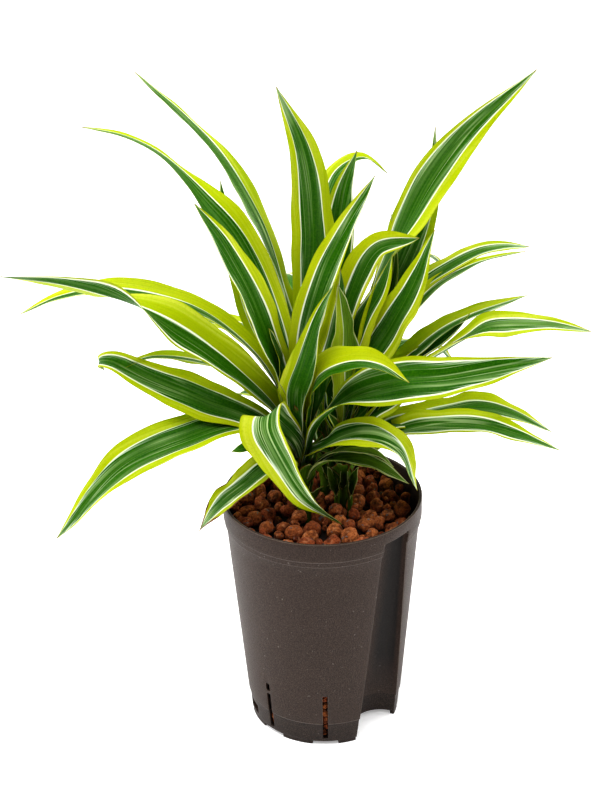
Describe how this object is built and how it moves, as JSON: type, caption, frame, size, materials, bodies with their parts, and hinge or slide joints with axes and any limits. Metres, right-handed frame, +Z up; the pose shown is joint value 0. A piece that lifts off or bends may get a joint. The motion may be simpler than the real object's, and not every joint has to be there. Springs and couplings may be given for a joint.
{
  "type": "potted dracaena",
  "caption": "Striped dracaena: strap-leaved cuttings standing in a tapered plastic culture pot filled with clay pebbles, with a gauge channel in the pot's side.",
  "frame": {"origin": "on the pot's axis, on the surface that the pot stands on, at the middle of its underside", "axes": "+Z up along the pot's axis; -Y is the front, towards the viewer; +X is to the viewer's right; the gauge channel faces 47 degrees from -Y towards +X"},
  "size_m": [0.4192, 0.2511, 0.5065],
  "materials": {
    "pot_plastic": "dark brown-grey moulded polypropylene, satin",
    "expanded_clay": "fired expanded clay pebbles, rough and matt, reddish brown",
    "striped_leaf": "living leaf, semi-gloss, dark green centre with pale lines and lime margins"
  },
  "bodies": {
    "root": {"pot": "pot_plastic", "clay_pebbles": "expanded_clay", "shoot_left": "striped_leaf", "shoot_back": "striped_leaf", "shoot_right": "striped_leaf", "sprout_front": "striped_leaf", "sprout_side": "striped_leaf"}
  },
  "joints": []
}
